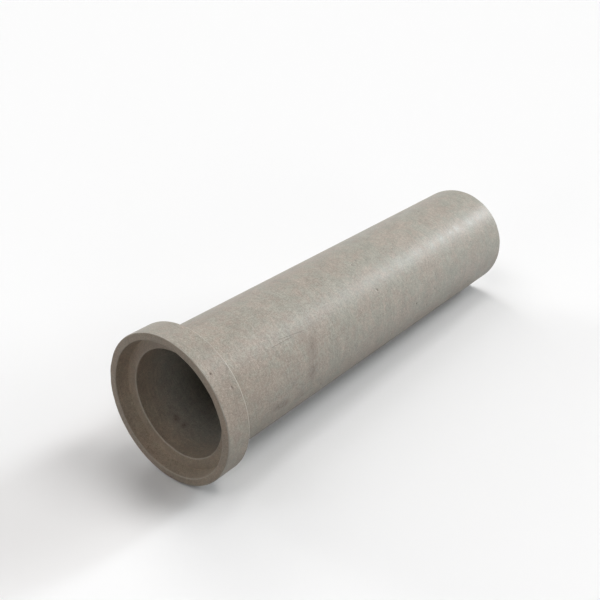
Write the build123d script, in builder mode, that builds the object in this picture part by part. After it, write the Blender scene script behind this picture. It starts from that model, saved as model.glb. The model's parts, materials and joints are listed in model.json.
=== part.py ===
from build123d import *

import os
from math import atan2, cos, sin

# A bell-and-spigot concrete culvert pipe, cast as one piece. It lies on its side on a level
# floor, touching it with the back edge of the bell and with the edge of the spigot's end.
# +X runs along the pipe towards the spigot, +Z is up, and the origin is on the floor, under
# the middle of the pipe's bounding box.

# Driving sizes, in millimetres
bore_diameter = 600.0
wall = 48.0  # the barrel's wall
pipe_length = 2905.0  # from the bell's face to the spigot's end
bell_length = 149.0  # from the bell's face to the step behind the bell
socket_depth = 72.0  # from the bell's face to the shoulder that the next spigot butts on
joint_gap = 13.0  # room all round that spigot at the shoulder, for its sealing ring or mortar
socket_flare = 14.0  # how much more radius the socket has at its mouth than at its shoulder
bell_lip = 42.5  # the concrete round the mouth, as seen on the bell's face
arris_radius = 6.0  # the eased corners; the two inner corners are as sharp as the mould

# The radii that follow from them
bore_radius = bore_diameter / 2
barrel_radius = bore_radius + wall
seat_radius = barrel_radius + joint_gap
mouth_radius = seat_radius + socket_flare
bell_radius = mouth_radius + bell_lip

# An arris never takes more than a third of the concrete that it rounds
arris = min(arris_radius, wall / 3, bell_lip / 3)

# The way it lies: the bell is wider than the barrel, so the pipe leans down to its spigot.
# Both edges on the floor have the same arris, so the floor, which touches both arcs, is
# parallel to the line through their centres.
lean = atan2(bell_radius - barrel_radius, pipe_length - bell_length)
rest_height = arris + (bell_length - arris) * sin(lean) + (bell_radius - arris) * cos(lean)

# How far the pipe reaches along X, both ways from the centre of the bell's face
reach_back = (bell_radius - arris) * sin(lean) + arris * (1 - cos(lean))
reach_ahead = (pipe_length - arris) * cos(lean) + (barrel_radius - arris) * sin(lean) + arris

bell_centre = ((reach_back - reach_ahead) / 2, 0, rest_height)
spigot_direction = (cos(lean), 0, -sin(lean))

# The corners of the half-section: how far along the pipe from the bell's face, and how far
# out from the pipe's axis
shoulder_edge = (socket_depth, bore_radius)
shoulder_root = (socket_depth, seat_radius)
mouth_edge = (0, mouth_radius)
face_edge = (0, bell_radius)
bell_back_edge = (bell_length, bell_radius)
step_root = (bell_length, barrel_radius)
spigot_edge = (pipe_length, barrel_radius)
spigot_bore_edge = (pipe_length, bore_radius)

eased_corners = (
    shoulder_edge,
    mouth_edge,
    face_edge,
    bell_back_edge,
    spigot_edge,
    spigot_bore_edge,
)

# The half-section is on the underside, so that it holds both edges that the pipe rests on
half_section_plane = Plane(origin=bell_centre, x_dir=spigot_direction, z_dir=(0, 1, 0))

with BuildPart() as pipe:
    with BuildSketch(half_section_plane) as half_section:
        with BuildLine():
            Polyline(
                shoulder_edge,
                shoulder_root,
                mouth_edge,
                face_edge,
                bell_back_edge,
                step_root,
                spigot_edge,
                spigot_bore_edge,
                close=True,
            )
        make_face()
        corners = half_section.vertices()
        eased = ShapeList(corners.sort_by_distance(place)[0] for place in eased_corners)
        fillet(eased, arris)
    revolve(axis=Axis(bell_centre, spigot_direction))

pipe.part.label = "pipe"

os.makedirs("parts", exist_ok=True)
export_step(pipe.part, "parts/pipe.step")
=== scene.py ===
import json
import math
import random

import bpy
from mathutils import Matrix, Vector, noise


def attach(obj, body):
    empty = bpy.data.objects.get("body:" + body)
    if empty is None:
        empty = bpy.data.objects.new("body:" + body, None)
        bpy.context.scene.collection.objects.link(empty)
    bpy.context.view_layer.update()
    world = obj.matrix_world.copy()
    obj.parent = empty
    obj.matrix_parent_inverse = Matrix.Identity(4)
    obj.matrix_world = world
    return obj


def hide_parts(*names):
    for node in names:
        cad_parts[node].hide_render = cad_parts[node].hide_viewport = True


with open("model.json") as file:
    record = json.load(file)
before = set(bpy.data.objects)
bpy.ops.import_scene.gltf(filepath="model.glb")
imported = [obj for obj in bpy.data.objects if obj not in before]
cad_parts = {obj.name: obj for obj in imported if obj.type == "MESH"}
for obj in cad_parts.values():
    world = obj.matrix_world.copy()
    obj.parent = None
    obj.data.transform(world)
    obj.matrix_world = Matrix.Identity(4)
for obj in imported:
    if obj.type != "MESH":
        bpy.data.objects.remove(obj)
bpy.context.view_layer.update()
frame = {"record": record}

# A concrete culvert pipe lying on a pale floor. The pipe is one closed mesh, turned from its
# half-section about the axis that the frame's mounts give, with worn arrises, faint waves
# and air holes, and it has one procedural concrete. Lengths are in metres.

# The half-section, as in the solid
PIPE_LENGTH = 2.905
BELL_LENGTH = 0.149
SOCKET_DEPTH = 0.072
BORE_RADIUS = 0.300
BARREL_RADIUS = 0.348
SEAT_RADIUS = 0.361
MOUTH_RADIUS = 0.375
BELL_RADIUS = 0.4175
ARRIS_RADIUS = 0.006

# How finely the surface is cut
SEGMENTS = 208  # round the pipe
FINE_STEP = 0.0135  # between rings on the outside and at both ends
BORE_STEP = 0.024
ARC_CUTS = 5  # on each arris
SUPPORT_STEP = 0.002  # from an arris or an inner corner to the first ring beside it

# The casting's own unevenness
WAVE_DEPTH = 0.0005
WAVE_LENGTH = 0.35
NIBBLE_DEPTH = 0.0022  # what an arris has lost where it is worn
NIBBLE_LENGTH = 0.06
NIBBLE_FLOOR = 0.12  # how much of the noise is too small to be a nibble
NIBBLE_GAIN = 2  # how fast a nibble deepens above that
SEED = 11

# The air holes
HOLES_PER_SQUARE_METRE = 6
HOLE_RADII = (0.0011, 0.0034)
SMALL_HOLE_BIAS = 3  # the power that makes most of them small
HOLE_DEPTHS = (0.6, 1.1)  # in radii
HOLE_STRETCHES = (0.8, 1.25)  # along the pipe
HOLE_SPACING = 2  # rings and segments round a hole that no other hole's middle may lie on
RIM_POINTS = 16  # twice the border that the rim sits in
RIM_RAGGEDNESS = 0.16
RIM_START = math.radians(135)  # back from straight along, so that the rim starts at the border's start
# From the rim inwards: the share of the hole's radius and of its depth, and how dark its painted shade
# and dust make it
HOLE_LOOPS = ((1, 0, 0.35), (0.86, 0.5, 1), (0.5, 0.92, 1))
# The border's vertices, as rings and segments from the hole's middle
BORDER = ((-1, -1), (0, -1), (1, -1), (1, 0), (1, 1), (0, 1), (-1, 1), (-1, 0))
# The holes that stand out: along the pipe, degrees up from its right side, and radius
PLACED_HOLES = (
    (0.036, 47, 0.0026),
    (0.640, 36, 0.0022),
    (2.230, 71, 0.0024),
)

# What each vertex carries for the concrete: how far into an arris, for its wear and painted highlight;
# how far inside, for the inside's tints and painted light; and how far in an air hole, for its painted
# shade and dust
VERTEX_FACTORS = ("wear_and_highlight", "inner", "holed")

# The studio
FLOOR_REACH = 200.0
FLOOR_SHADE = 0.925
FLOOR_BOUNCE = 0.1  # what it throws back on the pipe
BACKDROP = 0.985
HORIZON_TOP = 3  # degrees up to which gloss shows the world white
HORIZON_FADE = 15  # degrees up at which gloss shows it dark

# The lamps: soft ones far away. Each is given by its bearing from the spigot's end of the
# pipe, turning towards +Y, by its height above the horizon, its strength, its width and its tint
DAYLIGHT = (0.945, 1.000, 1.035)
LAMPLIGHT = (1.013, 1.000, 0.992)
LAMPS = (
    ("key", -20, 24, 0.90, 10, DAYLIGHT),
    ("key_soft", -26, 14, 0.80, 22, DAYLIGHT),
    ("key_low", -33, 8, 1.05, 22, LAMPLIGHT),
    ("left", 90, 22, 0.62, 22, LAMPLIGHT),
    ("left_ahead", 60, 38, 0.50, 22, LAMPLIGHT),
    ("left_high", 45, 56, 0.25, 22, LAMPLIGHT),
    ("left_behind", 135, 56, 0.29, 22, LAMPLIGHT),
    ("bell_high", 180, 56, 0.34, 22, LAMPLIGHT),
    ("bell_low", 180, 8, 0.26, 22, LAMPLIGHT),
    ("front", -120, 8, 0.38, 22, LAMPLIGHT),
    ("right_high", -45, 56, 0.88, 22, LAMPLIGHT),
    ("top", 0, 74, 0.54, 22, LAMPLIGHT),
)
# Low and ahead, their gloss on the barrel would clip to white when seen from behind the bell
GLOSSLESS_LAMPS = ("key_soft", "key_low")

# The camera, in the pipe's axes
CAMERA_PLACE = (-2.2967, -2.6626, 2.3310)
CAMERA_FORWARD = (0.70103, 0.55641, -0.44604)
CAMERA_UP = (0.34937, 0.27730, 0.89500)
SENSOR_WIDTH = 36  # millimetres, as the focal length is
FOCAL_LENGTH = 50.4

# The concrete's colours
BELL_BEIGE = (0.368, 0.337, 0.288, 1)
SPIGOT_GREY = (0.412, 0.386, 0.335, 1)
STAIN_BROWN = (0.165, 0.128, 0.104, 1)
# Also the painted shade and dust in the air holes
PORE_DARK = (0.120, 0.100, 0.085, 1)
# Also the pale of the arrises, which is partly wear and partly a painted highlight
PALE_GRAIN_AND_HIGHLIGHT = (0.560, 0.530, 0.470, 1)
BELL_TINT = (0.940, 0.915, 0.900, 1)  # this and the next five are times the colour
GREEN_TINT = (0.968, 1.008, 1.010, 1)
ROSY_TINT = (1.032, 0.980, 0.975, 1)
# Painted light: makes the bell's face, the socket and the bore's mouth lighter, and browner
INNER_PAINTED_LIGHT_AND_TINT = (1.145, 1.050, 0.970, 1)
BORE_TINT = (1.000, 1.040, 1.080, 1)
# Painted shade: makes the outside's lower flank darker, as shade falls there
PAINTED_UNDERSIDE_SHADE = (0.830, 0.800, 0.755, 1)

# Where one of them gives way to another, along the pipe, and last up from its axis
GREY_REACH = (0.3, 2.7)
BELL_REACH = (0.1, 0.7)
BORE_REACH = (SOCKET_DEPTH, 0.3)
# The painted shade on the underside is full below the first height and gone above the second
UNDERSIDE_SHADE_REACH = (-0.7 * BARREL_RADIUS, 0.05 * BARREL_RADIUS)
INNER_PATCHES = 0.6  # how strong the rosy and green patches are inside, against 1 outside

# Noises: scale, detail and roughness
BLOTCH = (3.4, 3, 0.55)
ROSY = (9, 4, 0.6)
CLOUD = (16, 4, 0.6)
TINT = (30, 4, 0.65)
MOTTLE = (70, 4, 0.7)
SAND = (180, 3, 0.75)
BRUSHED = (1.6, 4, 0.65)
BRUSH_SQUASH = (60, 4, 4)  # the brushed lines are this much finer along the pipe than round it
NOISE_RANGE = (0.25, 0.75)  # where nearly all of a noise lies
RAGGED_SCALE = 7
RAGGED_REACH = 0.10

# How much lighter and darker four of them make the concrete
CLOUD_DEPTH = 0.07
MOTTLE_DEPTH = 0.14
SAND_DEPTH = 0.26
BRUSHED_DEPTH = 0.10
# How much of three of them is in the patches
PATCH_SHARES = (0.25, 0.35, 0.4)

# Specks: scale, and the radii of the smallest and the largest, in cells
PORES = (66, 0.07, 0.15)
GRAINS = (50, 0.04, 0.12)
GRAIN_SHIFT = (3.1, 1.7, 2.3)  # keeps the grains out of step with the pores
SPECKLESS = 0.55  # the share of the cells that have none

# How strongly each mark covers the colour
PORE_COVER = 0.75
GRAIN_COVER = 0.7
# The air holes' dark cover is painted shade, with dust
HOLE_COVER = 0.6
# The arrises' pale cover is partly wear and partly a painted highlight
ARRIS_COVER = (0.75, 0.3)  # outside and inside

# The finish
CONCRETE_ROUGHNESS = 0.45
BRUSHED_ROUGHNESS = 0.10  # how much rougher and smoother the brushed lines are
MOTTLE_ROUGHNESS = 0.04
CONCRETE_SPECULAR = 0.5
BUMP_STRENGTH = 0.6
BUMP_DISTANCE = 0.001
SAND_HEIGHT = 0.30
MOTTLE_HEIGHT = 0.45
BRUSHED_HEIGHT = 0.20
PORE_HEIGHT = -0.6
SCRATCH_HEIGHT = -0.4

# Stains: along the pipe, degrees up from its right side, radius, reach along, reach round, depth
STAINS = (
    (0.755, 20, BARREL_RADIUS, 0.065, 0.085, 0.62),
    (0.710, 36, BARREL_RADIUS, 0.045, 0.060, 0.40),
    (0.735, 2, BARREL_RADIUS, 0.055, 0.070, 0.55),
    (0.470, -13, BARREL_RADIUS, 0.080, 0.040, 1.0),
    (0.640, -17, BARREL_RADIUS, 0.080, 0.030, 0.5),
    (0.110, 62, BELL_RADIUS, 0.040, 0.060, 0.22),
    (0.134, 45, BELL_RADIUS, 0.011, 0.014, 1.0),
    (1.150, 22, BARREL_RADIUS, 0.050, 0.060, 0.18),
    (2.530, 86, BARREL_RADIUS, 0.050, 0.060, 0.22),
    (2.700, -11, BARREL_RADIUS, 0.045, 0.060, 0.3),
    (2.860, -14, BARREL_RADIUS, 0.035, 0.060, 0.35),
    (0.226, -127, BORE_RADIUS, 0.024, 0.042, 1.0),
    (0.228, -114, BORE_RADIUS, 0.034, 0.022, 1.0),
    (0.205, -138, BORE_RADIUS, 0.042, 0.016, 0.9),
)

# Scratches on the barrel: where each starts and ends, along the pipe and in degrees up from
# its right side
SCRATCHES = (
    ((0.484, 41), (0.674, 40)),
    ((0.555, 44), (0.772, 39)),
)
SCRATCH_REACH = 0.0030

# The pipe's own axes: from the bell to the spigot, across it, and up
mounts = {mount["name"]: mount for mount in frame["record"]["mounts"]}
bell_centre = Vector(mounts["socket"]["pos_m"])
along = -Vector(mounts["socket"]["axis"]).normalized()
across = Vector((0, 1, 0))
upward = along.cross(across)
lean = math.asin(-along.z)
pipe_axes = Matrix((along, across, upward)).transposed()


def in_frame(x, y, z):
    """A point given along the pipe from the bell's face, across it and up, in the frame."""
    return bell_centre + pipe_axes @ Vector((x, y, z))


# The half-section

# Its corners in order: along, radius, whether it is eased, and the step of the run after it
CORNERS = (
    (PIPE_LENGTH, BARREL_RADIUS, True, FINE_STEP),
    (BELL_LENGTH, BARREL_RADIUS, False, FINE_STEP),
    (BELL_LENGTH, BELL_RADIUS, True, FINE_STEP),
    (0, BELL_RADIUS, True, FINE_STEP),
    (0, MOUTH_RADIUS, True, FINE_STEP),
    (SOCKET_DEPTH, SEAT_RADIUS, False, FINE_STEP),
    (SOCKET_DEPTH, BORE_RADIUS, True, BORE_STEP),
    (PIPE_LENGTH, BORE_RADIUS, True, FINE_STEP),
)
FACE_CORNER = 3  # the bell's outer corner, from which the surface turns inwards


class Ring:
    """One ring of the surface. Its place is along the pipe and out from its axis."""

    def __init__(self, place, facing, kind="plain", wear_and_highlight=0.0):
        self.place = place
        self.facing = facing
        self.kind = kind  # plain, crease, or field for one that air holes may sit on
        # It sets how much of the arris is worn, and how bright its painted highlight is
        self.wear_and_highlight = wear_and_highlight  # 1 in the middle of an arris, 0 beside it
        self.inner = 0.0  # 1 on the bell's face, in the socket and in the bore, 0 outside


def outward(run):
    """The way that a run of the half-section faces."""
    return Vector((run.y, -run.x)).normalized()


def corner_rings(before, corner, after, eased):
    """The rings of one corner: an arc if it is eased, and otherwise a crease."""
    first = outward(corner - before)
    last = outward(after - corner)
    if not eased:
        return [Ring(corner, first + last, kind="crease")]
    half_turn = first.angle(last) / 2
    centre = corner - (first + last).normalized() * (ARRIS_RADIUS / math.cos(half_turn))
    made = []
    for cut in range(ARC_CUTS + 1):
        part = cut / ARC_CUTS
        facing = first.slerp(last, part)
        # 1 in the middle of the arc: the arris's wear there, and its painted highlight
        wear_and_highlight = max(math.sin(math.pi * part), 0) ** 0.5
        made.append(Ring(centre + facing * ARRIS_RADIUS, facing, wear_and_highlight=wear_and_highlight))
    return made


def run_rings(start, end, step):
    """The rings of a straight run between two corners."""
    run = end - start
    inner = run.length - 2 * SUPPORT_STEP
    steps = max(1, round(inner / step))
    made = []
    for cut in range(steps + 1):
        place = start + run.normalized() * (SUPPORT_STEP + inner * cut / steps)
        kind = "field" if 1 < cut < steps - 1 else "plain"
        made.append(Ring(place, outward(run), kind))
    return made


def half_section():
    """All the rings, from the spigot's edge along the outside and back through the bore."""
    places = [Vector(corner[:2]) for corner in CORNERS]
    corners = []
    for i, corner in enumerate(CORNERS):
        after = places[(i + 1) % len(places)]
        corners.append(corner_rings(places[i - 1], places[i], after, corner[2]))
    made = []
    for i, corner in enumerate(corners):
        after = corners[(i + 1) % len(corners)]
        run = run_rings(corner[-1].place, after[0].place, CORNERS[i][3])
        inside = corner + run if i > FACE_CORNER else corner[len(corner) // 2:] + run
        for ring in inside:
            ring.inner = float(i >= FACE_CORNER)
        made += corner + run
    return made


# The surface

def turned(place, turn):
    """A point of the half-section turned round the pipe, from straight down."""
    return Vector((place.x, place.y * math.sin(turn), -place.y * math.cos(turn)))


def sunk(point, ring):
    """How far the casting lies inside its nominal surface there."""
    wave = 0.5 + 0.5 * noise.noise(point / WAVE_LENGTH)
    nibble = noise.noise(point / NIBBLE_LENGTH) - NIBBLE_FLOOR
    nibbled = min(max(NIBBLE_GAIN * nibble, 0), 1)
    return WAVE_DEPTH * wave + NIBBLE_DEPTH * ring.wear_and_highlight * nibbled


class Surface:
    """The pipe's vertices and faces, with their places in the texture."""

    def __init__(self):
        self.points = []
        self.wear_and_highlight = []
        self.inner = []
        self.holed = []
        self.faces = []
        self.texture = []

    def add_point(self, place, turn, ring, holed=0.0):
        self.points.append(in_frame(*turned(place, turn)))
        self.wear_and_highlight.append(ring.wear_and_highlight)
        self.inner.append(ring.inner)
        self.holed.append(holed)
        return len(self.points) - 1

    def add_face(self, *corners):
        """A face from (vertex, texture place) pairs, in order seen from inside the concrete."""
        self.faces.append([vertex for vertex, place in reversed(corners)])
        self.texture.append([place for vertex, place in reversed(corners)])


class Strips:
    """Where each ring is in the texture: the outside in one strip and the inside in another."""

    OUTSIDE = (0.0, 0.56)
    INSIDE = (0.58, 1.0)

    def __init__(self, rings):
        face_arcs = (k for k, ring in enumerate(rings) if ring.wear_and_highlight and ring.place.x < ARRIS_RADIUS)
        self.cut = max(face_arcs)
        runs = [(b.place - a.place).length for a, b in zip(rings, rings[1:] + rings[:1])]
        self.outside = running_shares(runs[:self.cut])
        self.inside = running_shares(runs[self.cut:])

    def place(self, k, j, end=0):
        """The texture place of the start or end of the faces after ring k, at segment j."""
        low, high = self.OUTSIDE if k < self.cut else self.INSIDE
        share = self.outside[k + end] if k < self.cut else self.inside[k - self.cut + end]
        return share, low + (high - low) * j / SEGMENTS

    def beside(self, k, j, rings_off, segments_off):
        """The texture place some rings and segments off the start of ring k, at segment j."""
        u, v = self.place(k, j + segments_off)
        return u + (self.place(k, j, 1)[0] - u) * rings_off, v


def running_shares(runs):
    """How much of the runs' whole length lies before each of them, and after the last."""
    total = sum(runs)
    shares = [0.0]
    for run in runs:
        shares.append(shares[-1] + run / total)
    return shares


def hole_loops(surface, strips, rings, k, j, radius, draw):
    """An air hole's vertices: its loops from the rim inwards, and the one in its middle."""
    ring = rings[k]
    run = rings[k + 1].place - ring.place
    segment = 2 * math.pi / SEGMENTS
    depth = radius * draw.uniform(*HOLE_DEPTHS)
    stretch = draw.uniform(*HOLE_STRETCHES)

    def spot(reach, angle, down, holed):
        """One vertex of the hole, from its middle."""
        rings_off = reach * math.cos(angle) * stretch / run.length
        segments_off = reach * math.sin(angle) / (ring.place.y * segment)
        place = ring.place + run * rings_off
        turn = (j + segments_off) * segment
        place -= ring.facing * (sunk(turned(place, turn), ring) + down)
        vertex = surface.add_point(place, turn, ring, holed)
        return vertex, strips.beside(k, j, rings_off, segments_off)

    shape = [1 + draw.uniform(-RIM_RAGGEDNESS, RIM_RAGGEDNESS) for _ in range(RIM_POINTS)]
    loops = []
    for share, down, holed in HOLE_LOOPS:
        loop = []
        for n in range(RIM_POINTS):
            angle = 2 * math.pi * n / RIM_POINTS - RIM_START
            loop.append(spot(radius * share * shape[n], angle, depth * down, holed))
        loops.append(loop)
    return loops, spot(0, 0, depth, 1)


def air_hole(surface, border, loops, middle):
    """The faces of an air hole: from the border to its rim, down its side and over its floor."""
    rim = loops[0]
    for n, corner in enumerate(border):
        nearest, between, beyond = (rim[(2 * n + m) % RIM_POINTS] for m in range(3))
        surface.add_face(nearest, between, corner)
        surface.add_face(between, beyond, border[(n + 1) % len(border)], corner)
    for outer, inner in zip(loops, loops[1:]):
        for n in range(RIM_POINTS):
            m = (n + 1) % RIM_POINTS
            surface.add_face(inner[n], inner[m], outer[m], outer[n])
    floor = loops[-1]
    for n in range(RIM_POINTS):
        surface.add_face(middle, floor[(n + 1) % RIM_POINTS], floor[n])


def wanted_holes(rings, draw):
    """The ring, segment and radius of each air hole, the placed ones first."""
    fields = [k for k, ring in enumerate(rings) if ring.kind == "field"]
    outside = [k for k in fields if rings[k].place.y >= BARREL_RADIUS]
    wanted = []
    for x, degrees, radius in PLACED_HOLES:
        k = min(outside, key=lambda k: abs(rings[k].place.x - x))
        wanted.append((k, round((270 - degrees) / 360 * SEGMENTS) % SEGMENTS, radius))
    small, large = HOLE_RADII
    for k in fields:
        area = 2 * math.pi * rings[k].place.y * (rings[k + 1].place - rings[k].place).length
        number = area * HOLES_PER_SQUARE_METRE
        for _ in range(int(number) + (draw.random() < number % 1)):
            radius = small + (large - small) * draw.random() ** SMALL_HOLE_BIAS
            wanted.append((k, draw.randrange(SEGMENTS), radius))
    return wanted


def hole_places(rings, draw):
    """The ring, segment and radius of each air hole, none beside another."""
    nearby = range(-HOLE_SPACING, HOLE_SPACING + 1)
    places = []
    crowded = set()
    for k, j, radius in wanted_holes(rings, draw):
        if (k, j) not in crowded:
            places.append((k, j, radius))
            crowded |= {(k + a, (j + b) % SEGMENTS) for a in nearby for b in nearby}
    return places


def ring_grid(surface, rings):
    """The vertices of every ring, in rows."""
    grid = []
    for ring in rings:
        row = []
        for j in range(SEGMENTS):
            turn = 2 * math.pi * j / SEGMENTS
            place = ring.place - ring.facing * sunk(turned(ring.place, turn), ring)
            row.append(surface.add_point(place, turn, ring))
        grid.append(row)
    return grid


def skin(surface, strips, grid, cleared):
    """The faces between the rings, apart from those that air holes take the place of."""
    for k, row in enumerate(grid):
        after = grid[(k + 1) % len(grid)]
        for j in range(SEGMENTS):
            if (k, j) in cleared:
                continue
            beside = (j + 1) % SEGMENTS
            surface.add_face(
                (row[j], strips.place(k, j)),
                (row[beside], strips.place(k, j + 1)),
                (after[beside], strips.place(k, j + 1, 1)),
                (after[j], strips.place(k, j, 1)),
            )


def pipe_surface(rings):
    """The whole pipe's surface, and its grid of vertices."""
    strips = Strips(rings)
    surface = Surface()
    draw = random.Random(SEED)
    grid = ring_grid(surface, rings)
    holes = hole_places(rings, draw)
    round_one = [(a, b) for a in (-1, 0) for b in (-1, 0)]
    cleared = {(k + a, (j + b) % SEGMENTS) for k, j, radius in holes for a, b in round_one}
    skin(surface, strips, grid, cleared)
    for k, j, radius in holes:
        loops, middle = hole_loops(surface, strips, rings, k, j, radius, draw)
        border = [(grid[k + a][(j + b) % SEGMENTS], strips.beside(k, j, a, b)) for a, b in BORDER]
        air_hole(surface, border, loops, middle)
    return surface, grid


def pipe_mesh():
    """The whole pipe as one closed mesh, with its arris, inside and air-hole factors kept as
    attributes.
    """
    rings = half_section()
    surface, grid = pipe_surface(rings)
    mesh = bpy.data.meshes.new("pipe_concrete")
    mesh.from_pydata(surface.points, [], surface.faces)
    mesh.polygons.foreach_set("use_smooth", [True] * len(mesh.polygons))
    places = [value for face in surface.texture for place in face for value in place]
    mesh.uv_layers.new(name="OFBake").data.foreach_set("uv", places)
    for name in VERTEX_FACTORS:
        attribute = mesh.attributes.new(name, "FLOAT", "POINT")
        attribute.data.foreach_set("value", getattr(surface, name))
    creases = {vertex for ring, row in zip(rings, grid) if ring.kind == "crease" for vertex in row}
    for edge in mesh.edges:
        edge.use_edge_sharp = creases.issuperset(edge.vertices)
    return mesh


# Materials

class Shader:
    """The nodes of a material or a world. An input's value is a number, a colour or a socket."""

    def __init__(self, owner, surface):
        owner.use_nodes = True
        self.tree = owner.node_tree
        self.surface = self.tree.nodes[surface]

    def node(self, kind, inputs, **settings):
        made = self.tree.nodes.new("ShaderNode" + kind)
        for name, value in settings.items():
            setattr(made, name, value)
        self.fill(made, inputs)
        return made

    def fill(self, node, inputs):
        for name, value in inputs.items():
            if isinstance(value, bpy.types.NodeSocket):
                self.tree.links.new(value, node.inputs[name])
            else:
                node.inputs[name].default_value = value

    def math(self, operation, a, b):
        return self.node("Math", {0: a, 1: b}, operation=operation).outputs[0]

    def vector(self, operation, a, b):
        """A vector made from two others."""
        return self.node("VectorMath", {0: a, 1: b}, operation=operation).outputs["Vector"]

    def length(self, a):
        return self.node("VectorMath", {0: a}, operation="LENGTH").outputs["Value"]

    def dot(self, a, b):
        return self.node("VectorMath", {0: a, 1: b}, operation="DOT_PRODUCT").outputs["Value"]

    def ramp(self, value, low, high, to_low=0.0, to_high=1.0):
        """A value between two levels, eased, as another two."""
        inputs = {0: value, 1: low, 2: high, 3: to_low, 4: to_high}
        return self.node("MapRange", inputs, interpolation_type="SMOOTHSTEP").outputs[0]

    def swing(self, value, depth, middle=1.0):
        """A noise as a factor that goes that far below and above its middle."""
        return self.ramp(value, *NOISE_RANGE, middle - depth, middle + depth)

    def weighted(self, *terms):
        """The sum of (value, share) pairs."""
        total = None
        for value, share in terms:
            term = self.math("MULTIPLY", value, share)
            total = term if total is None else self.math("ADD", total, term)
        return total

    def mix(self, factor, a, b, blend="MIX"):
        """Two colours mixed."""
        made = self.node("Mix", {0: factor, 6: a, 7: b}, data_type="RGBA", blend_type=blend)
        return made.outputs[2]

    def noise(self, place, scale, detail, roughness):
        inputs = {"Vector": place, "Scale": scale, "Detail": detail, "Roughness": roughness}
        return self.node("TexNoise", inputs).outputs["Fac"]

    def ragged_place(self, place):
        """A place moved by noise, so that a shape there gets a ragged edge."""
        inputs = {"Vector": place, "Scale": RAGGED_SCALE, "Detail": 4}
        cloud = self.node("TexNoise", inputs).outputs["Color"]
        push = self.vector("SUBTRACT", cloud, (0.5, 0.5, 0.5))
        push = self.vector("MULTIPLY", push, (RAGGED_REACH,) * 3)
        return self.vector("ADD", place, push)

    def specks(self, place, scale, small, large):
        """Round specks, one in some of the cells of that scale, of different sizes."""
        cells = self.node("TexVoronoi", {"Vector": place, "Scale": scale}).outputs
        chance = self.node("SeparateColor", {0: cells["Color"]}).outputs[0]
        sizes = {0: chance, 1: SPECKLESS, 2: 1.0, 3: 0.0, 4: large}
        size = self.node("MapRange", sizes).outputs[0]
        inner = self.math("MULTIPLY", size, small / large)
        edge = {0: cells["Distance"], 1: inner, 2: size, 3: 1, 4: 0}
        return self.node("MapRange", edge).outputs[0]

    def seen(self):
        """Whether it is seen directly, and in gloss or glass. Both are 0 where it only lights."""
        path = self.node("LightPath", {}).outputs
        reflected = self.math("MAXIMUM", path["Is Glossy Ray"], path["Is Transmission Ray"])
        return path["Is Camera Ray"], reflected


def grey(level):
    return (level, level, level, 1)


def on_wall(x, degrees, radius):
    """A point in the pipe's axes, from its place along, degrees up from its right side and radius."""
    angle = math.radians(degrees)
    return Vector((x, -radius * math.cos(angle), radius * math.sin(angle)))


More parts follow.
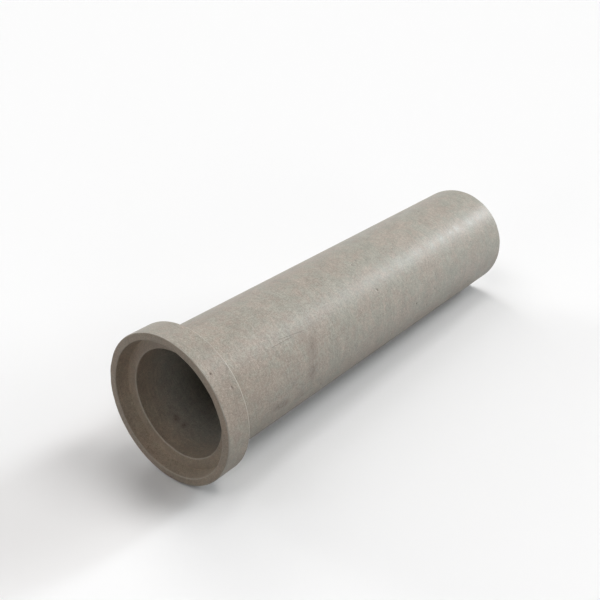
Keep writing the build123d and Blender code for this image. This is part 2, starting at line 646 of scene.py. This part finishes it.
class Concrete(Shader):
    """Smooth mould-cast concrete: beige, clouded, stained and sandy, with a faint satin sheen."""

    def __init__(self, material):
        super().__init__(material, "Principled BSDF")
        from_frame = self.node("TexCoord", {}).outputs["Object"]
        to_pipe = {"Vector": from_frame, "Location": bell_centre, "Rotation": (0, lean, 0)}
        self.place = self.node("Mapping", to_pipe, vector_type="TEXTURE").outputs[0]
        self.ragged = self.ragged_place(self.place)
        self.wear_and_highlight, self.inner, self.holed = (self.attribute(name) for name in VERTEX_FACTORS)
        self.blotch = self.noise(self.ragged, *BLOTCH)
        self.rosy = self.noise(self.ragged, *ROSY)
        self.cloud = self.noise(self.place, *CLOUD)
        self.tint = self.noise(self.ragged, *TINT)
        self.mottle = self.noise(self.place, *MOTTLE)
        self.sand = self.noise(self.place, *SAND)
        self.brushed = self.noise(self.vector("MULTIPLY", self.ragged, BRUSH_SQUASH), *BRUSHED)
        self.pore = self.specks(self.place, *PORES)
        self.grain = self.specks(self.vector("ADD", self.place, GRAIN_SHIFT), *GRAINS)
        self.scratched = self.scratches()

    def attribute(self, name):
        return self.node("Attribute", {}, attribute_name=name).outputs["Fac"]

    def tinted(self):
        """Greyer and lighter towards the spigot, lifted lighter and browner by painted light in the
        socket, darker low down by painted shade, and in patches.
        """
        x, y, z = self.node("SeparateXYZ", {0: self.place}).outputs
        colour = self.mix(self.ramp(x, *GREY_REACH), BELL_BEIGE, SPIGOT_GREY)
        colour = self.mix(self.ramp(x, *BELL_REACH, 1, 0), colour, BELL_TINT, "MULTIPLY")
        patch_depth = self.ramp(self.inner, 0, 1, 1, INNER_PATCHES)
        colour = self.mix(patch_depth, colour, self.patch_tint(), "MULTIPLY")
        # Painted light on the face and in the socket, giving way deeper in the bore to the bore's tint
        inner_light_and_tint = self.mix(self.ramp(x, *BORE_REACH), INNER_PAINTED_LIGHT_AND_TINT, BORE_TINT)
        colour = self.mix(self.inner, colour, inner_light_and_tint, "MULTIPLY")
        # Painted shade on the outside's lower flank, not inside
        low = self.ramp(z, *UNDERSIDE_SHADE_REACH, 1, 0)
        low = self.math("MULTIPLY", low, self.math("SUBTRACT", 1.0, self.inner))
        return self.mix(low, colour, PAINTED_UNDERSIDE_SHADE, "MULTIPLY")

    def patch_tint(self):
        """Green in some places and rosy in others."""
        patches = self.weighted(*zip((self.blotch, self.rosy, self.tint), PATCH_SHARES))
        return self.mix(self.ramp(patches, 0.42, 0.58), GREEN_TINT, ROSY_TINT)

    def shaded(self, colour):
        """Lighter and darker, by clouds, mottles, sand, and brushed lines round the pipe."""
        light = self.swing(self.cloud, CLOUD_DEPTH)
        light = self.math("MULTIPLY", light, self.swing(self.mottle, MOTTLE_DEPTH))
        light = self.math("MULTIPLY", light, self.swing(self.sand, SAND_DEPTH))
        light = self.math("MULTIPLY", light, self.swing(self.brushed, BRUSHED_DEPTH))
        return self.mix(1.0, colour, light, "MULTIPLY")

    def stains(self):
        """How stained it is, mottled within each stain."""
        stained = 0.0
        for stain in STAINS:
            stained = self.math("MAXIMUM", stained, self.stain(*stain))
        stained = self.math("MULTIPLY", stained, self.ramp(self.mottle, 0.44, 0.56, 0.3, 1))
        return self.math("MULTIPLY", stained, self.ramp(self.tint, 0.4, 0.6, 0.5, 1))

    def stain(self, x, degrees, radius, reach_along, reach_round, depth):
        """How much of one stain lies at a place, from its middle to its ragged edge."""
        off = self.vector("SUBTRACT", self.ragged, on_wall(x, degrees, radius))
        off = self.vector("DIVIDE", off, (reach_along, reach_round, reach_round))
        return self.ramp(self.length(off), 0.2, 1.2, depth, 0)

    def scratches(self):
        """How scratched it is, broken up by the sand."""
        scratched = 0.0
        for start, end in SCRATCHES:
            scratched = self.math("MAXIMUM", scratched, self.scratch(start, end))
        return self.math("MULTIPLY", scratched, self.ramp(self.sand, 0.38, 0.5, 0.1, 0.6))

    def scratch(self, start, end):
        """1 along a thin straight line on the barrel, fading at its ends and beside it."""
        first = on_wall(*start, BARREL_RADIUS)
        run = on_wall(*end, BARREL_RADIUS) - first
        off = self.vector("SUBTRACT", self.place, first)
        share = self.dot(off, run / run.length_squared)
        aside = self.vector("SUBTRACT", off, self.vector("PROJECT", off, run))
        ends = self.math("MULTIPLY", self.ramp(share, 0, 0.1), self.ramp(share, 0.8, 1, 1, 0))
        across_it = self.ramp(self.length(aside), 0, SCRATCH_REACH, 1, 0)
        return self.math("MULTIPLY", ends, across_it)

    def marked(self, colour):
        """With stains, scratches, pores, pale grains, pale arrises that are partly wear and partly a
        painted highlight, and air holes darkened by painted shade and dust.
        """
        colour = self.mix(self.stains(), colour, STAIN_BROWN)
        colour = self.mix(self.scratched, colour, PORE_DARK)
        colour = self.mix(self.math("MULTIPLY", self.pore, PORE_COVER), colour, PORE_DARK)
        colour = self.mix(self.math("MULTIPLY", self.grain, GRAIN_COVER), colour, PALE_GRAIN_AND_HIGHLIGHT)
        # Pale arrises: partly wear, partly a painted highlight
        pale = self.math("MULTIPLY", self.wear_and_highlight, self.ramp(self.inner, 0, 1, *ARRIS_COVER))
        colour = self.mix(pale, colour, PALE_GRAIN_AND_HIGHLIGHT)
        # Air holes darkened by painted shade and dust
        return self.mix(self.math("MULTIPLY", self.holed, HOLE_COVER), colour, PORE_DARK)

    def roughness(self):
        rough = self.swing(self.brushed, BRUSHED_ROUGHNESS, CONCRETE_ROUGHNESS)
        mottled = self.ramp(self.mottle, 0.3, 0.7, -MOTTLE_ROUGHNESS, MOTTLE_ROUGHNESS)
        return self.math("ADD", rough, mottled)

    def bump(self):
        height = self.weighted(
            (self.sand, SAND_HEIGHT),
            (self.mottle, MOTTLE_HEIGHT),
            (self.brushed, BRUSHED_HEIGHT),
            (self.pore, PORE_HEIGHT),
            (self.scratched, SCRATCH_HEIGHT),
        )
        inputs = {"Strength": BUMP_STRENGTH, "Distance": BUMP_DISTANCE, "Height": height}
        return self.node("Bump", inputs).outputs[0]


def concrete():
    """The pipe's material."""
    material = bpy.data.materials.new("cast_concrete")
    shader = Concrete(material)
    shader.fill(shader.surface, {
        "Base Color": shader.marked(shader.shaded(shader.tinted())),
        "Roughness": shader.roughness(),
        "Specular IOR Level": CONCRETE_SPECULAR,
        "Normal": shader.bump(),
    })
    return material


def floor_finish():
    """Matt and pale to look at, and darker for the light that it throws back on the pipe."""
    material = bpy.data.materials.new("pale_floor")
    shader = Shader(material, "Principled BSDF")
    seen = shader.math("MAXIMUM", *shader.seen())
    colour = shader.mix(seen, grey(FLOOR_BOUNCE), grey(FLOOR_SHADE))
    shader.fill(shader.surface, {"Base Color": colour, "Roughness": 1.0, "Specular IOR Level": 0.0})
    return material


def studio_world():
    """White to look at. Gloss shows it white at the horizon and dark above. It gives no light."""
    world = bpy.data.worlds.new("studio")
    shader = Shader(world, "Background")
    direction = shader.node("TexCoord", {}).outputs["Generated"]
    height = shader.node("SeparateXYZ", {0: direction}).outputs[2]
    top, fade = (math.sin(math.radians(degrees)) for degrees in (HORIZON_TOP, HORIZON_FADE))
    seen, reflected = shader.seen()
    reflected = shader.math("MULTIPLY", reflected, shader.ramp(height, top, fade, 1, 0))
    strength = shader.math("MULTIPLY", shader.math("MAXIMUM", seen, reflected), BACKDROP)
    shader.fill(shader.surface, {"Color": grey(1), "Strength": strength})
    return world


# The scene's objects

def placed(name, data):
    """An object in the scene."""
    made = bpy.data.objects.new(name, data)
    bpy.context.scene.collection.objects.link(made)
    return made


def floor_mesh():
    """A wide square at the height of the floor."""
    mesh = bpy.data.meshes.new("floor")
    corners = ((-1, -1), (1, -1), (1, 1), (-1, 1))
    mesh.from_pydata([(x * FLOOR_REACH, y * FLOOR_REACH, 0) for x, y in corners], [], [(0, 1, 2, 3)])
    mesh.materials.append(floor_finish())
    return mesh


def add_lamp(name, bearing, height, strength, width, tint):
    """A soft lamp, far away."""
    data = bpy.data.lights.new(name, "SUN")
    data.energy = strength
    data.angle = math.radians(width)
    data.color = tint
    flat = Vector((math.cos(math.radians(bearing)), math.sin(math.radians(bearing)), 0))
    rise = Vector((0, 0, math.sin(math.radians(height))))
    towards = flat * math.cos(math.radians(height)) + rise
    lamp = placed(name, data)
    lamp.rotation_mode = "QUATERNION"
    lamp.rotation_quaternion = towards.to_track_quat("Z", "Y")
    lamp.visible_glossy = name not in GLOSSLESS_LAMPS


def add_camera():
    """The scene's camera, which looks along the pipe from beyond its bell."""
    forward = (pipe_axes @ Vector(CAMERA_FORWARD)).normalized()
    camera_up = (pipe_axes @ Vector(CAMERA_UP)).normalized()
    right = forward.cross(camera_up).normalized()
    data = bpy.data.cameras.new("camera")
    data.sensor_width = SENSOR_WIDTH
    data.lens = FOCAL_LENGTH
    turn = Matrix((right, right.cross(forward), -forward)).transposed().to_4x4()
    made = placed("camera", data)
    made.matrix_world = Matrix.Translation(in_frame(*CAMERA_PLACE)) @ turn
    return made


pipe = placed("pipe_concrete", pipe_mesh())
pipe.data.materials.append(concrete())
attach(pipe, "root")
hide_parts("pipe")

floor = placed("floor", floor_mesh())

bpy.context.scene.world = studio_world()
for lamp in LAMPS:
    add_lamp(*lamp)
bpy.context.scene.camera = add_camera()
bpy.context.scene.view_settings.view_transform = "Standard"
